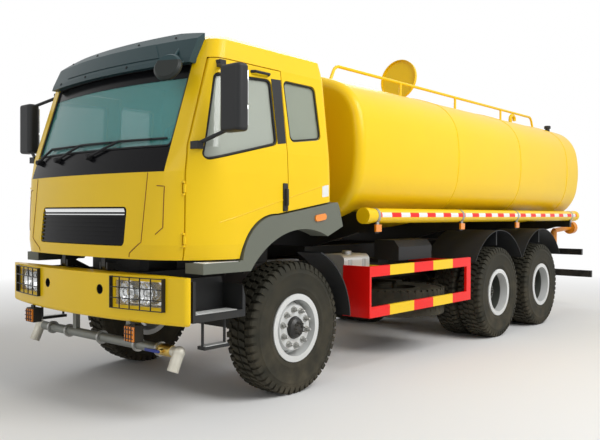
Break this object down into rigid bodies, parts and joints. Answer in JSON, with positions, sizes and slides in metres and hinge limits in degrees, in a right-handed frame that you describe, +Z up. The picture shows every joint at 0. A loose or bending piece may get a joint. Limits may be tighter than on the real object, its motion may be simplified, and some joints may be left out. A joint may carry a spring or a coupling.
{
  "type": "tanker truck",
  "caption": "Water tanker truck with a flat-nosed tilt cab, hinged doors, steered front wheels, twin rear wheels on tandem axles and a dished tank with an open top lid.",
  "frame": {"origin": "on the road under the middle of the truck's length and width", "axes": "+X to the truck's left, front towards -Y, +Z up"},
  "size_m": [3.11, 8.8098, 3.5859],
  "materials": {
    "yellow_paint": "gloss",
    "slate_paint": "satin",
    "grey_plastic": "matte",
    "black_paint": "satin",
    "black_plastic": "matte",
    "iron": "matte",
    "seat_cloth": "matte",
    "window_glass": "polished",
    "lamp_lens": "polished",
    "amber_lens": "polished",
    "red_lens": "polished",
    "galvanised": "satin",
    "tank_metal": "satin",
    "guard_red": "gloss",
    "pipe_orange": "gloss",
    "wheel_silver": "satin",
    "wheel_grey": "satin",
    "tyre_rubber": "matte"
  },
  "bodies": {
    "chassis": {"frame_rails": "black_paint", "crossmembers": "black_paint", "tail_lamps": "red_lens", "driveline": "black_paint", "axles": "iron", "leaf_springs": "black_paint", "bumper": "yellow_paint", "headlamps": "lamp_lens", "lamp_guards": "black_paint", "marker_lamps": "amber_lens", "spray_bar": "galvanised", "entry_steps": "grey_plastic", "mudguards": "black_plastic", "fuel_tank": "tank_metal", "battery_box": "black_plastic", "air_tanks": "black_paint", "spare_wheel": "tyre_rubber", "side_guards": "guard_red", "water_tank": "yellow_paint", "tank_sills": "black_paint", "tank_saddles": "black_paint", "hose_lockers": "yellow_paint", "top_rails": "yellow_paint", "tank_fittings": "yellow_paint", "rear_piping": "pipe_orange"},
    "lid": {"manhole_lid": "yellow_paint"},
    "cab": {"cab_floor": "black_paint", "cab_back": "yellow_paint", "cab_roof": "yellow_paint", "cab_quarters": "yellow_paint", "cab_pillars": "yellow_paint", "cab_front": "yellow_paint", "visor": "slate_paint", "cab_glass": "window_glass", "grille": "black_plastic", "cowl": "black_plastic", "arch_fairings": "grey_plastic", "turn_lamps": "amber_lens", "seats": "seat_cloth", "dashboard": "black_plastic"},
    "left_door": {"door_left": "yellow_paint", "door_glass_left": "window_glass", "mirror_left": "black_plastic"},
    "right_door": {"door_right": "yellow_paint", "door_glass_right": "window_glass", "mirror_right": "black_plastic"},
    "left_knuckle": {"knuckle_left": "iron"},
    "right_knuckle": {"knuckle_right": "iron"},
    "front_wheel_left": {"front_tyre_left": "tyre_rubber", "front_rim_left": "wheel_silver"},
    "mid_wheels_left": {"mid_tyres_left": "tyre_rubber", "mid_rims_left": "wheel_grey"},
    "rear_wheels_left": {"rear_tyres_left": "tyre_rubber", "rear_rims_left": "wheel_grey"},
    "front_wheel_right": {"front_tyre_right": "tyre_rubber", "front_rim_right": "wheel_silver"},
    "mid_wheels_right": {"mid_tyres_right": "tyre_rubber", "mid_rims_right": "wheel_grey"},
    "rear_wheels_right": {"rear_tyres_right": "tyre_rubber", "rear_rims_right": "wheel_grey"}
  },
  "joints": [
    {"name": "cab_tilt", "type": "hinge", "parent": "chassis", "child": "cab", "pos_m": [0, -4.265, 1.12], "axis": [1, 0, 0], "range_deg": [0, 45]},
    {"name": "left_door_hinge", "type": "hinge", "parent": "cab", "child": "left_door", "pos_m": [1.1, -4.145, 1.7], "axis": [0, 0, -1], "range_deg": [0, 70]},
    {"name": "right_door_hinge", "type": "hinge", "parent": "cab", "child": "right_door", "pos_m": [-1.1, -4.145, 1.7], "axis": [0, 0, 1], "range_deg": [0, 70]},
    {"name": "lid_hinge", "type": "hinge", "parent": "chassis", "child": "lid", "pos_m": [0, 0.373, 3.032], "axis": [1, 0, 0], "range_deg": [0, 98]},
    {"name": "left_steering", "type": "hinge", "parent": "chassis", "child": "left_knuckle", "pos_m": [0.87, -2.965, 0.5625], "axis": [0, 0, 1], "range_deg": [-35, 35]},
    {"name": "right_steering", "type": "hinge", "parent": "chassis", "child": "right_knuckle", "pos_m": [-0.87, -2.965, 0.5625], "axis": [0, 0, 1], "range_deg": [-35, 35]},
    {"name": "front_spin_left", "type": "hinge", "parent": "left_knuckle", "child": "front_wheel_left", "pos_m": [1.02, -2.965, 0.5625], "axis": [1, 0, 0], "continuous": true},
    {"name": "mid_spin_left", "type": "hinge", "parent": "chassis", "child": "mid_wheels_left", "pos_m": [0.925, 0.815, 0.5625], "axis": [1, 0, 0], "continuous": true},
    {"name": "rear_spin_left", "type": "hinge", "parent": "chassis", "child": "rear_wheels_left", "pos_m": [0.925, 2.165, 0.5625], "axis": [1, 0, 0], "continuous": true},
    {"name": "front_spin_right", "type": "hinge", "parent": "right_knuckle", "child": "front_wheel_right", "pos_m": [-1.02, -2.965, 0.5625], "axis": [1, 0, 0], "continuous": true},
    {"name": "mid_spin_right", "type": "hinge", "parent": "chassis", "child": "mid_wheels_right", "pos_m": [-0.925, 0.815, 0.5625], "axis": [1, 0, 0], "continuous": true},
    {"name": "rear_spin_right", "type": "hinge", "parent": "chassis", "child": "rear_wheels_right", "pos_m": [-0.925, 2.165, 0.5625], "axis": [1, 0, 0], "continuous": true}
  ],
  "couplings": [
    {"joint": "right_steering", "follows": "left_steering", "ratio": 1}
  ]
}
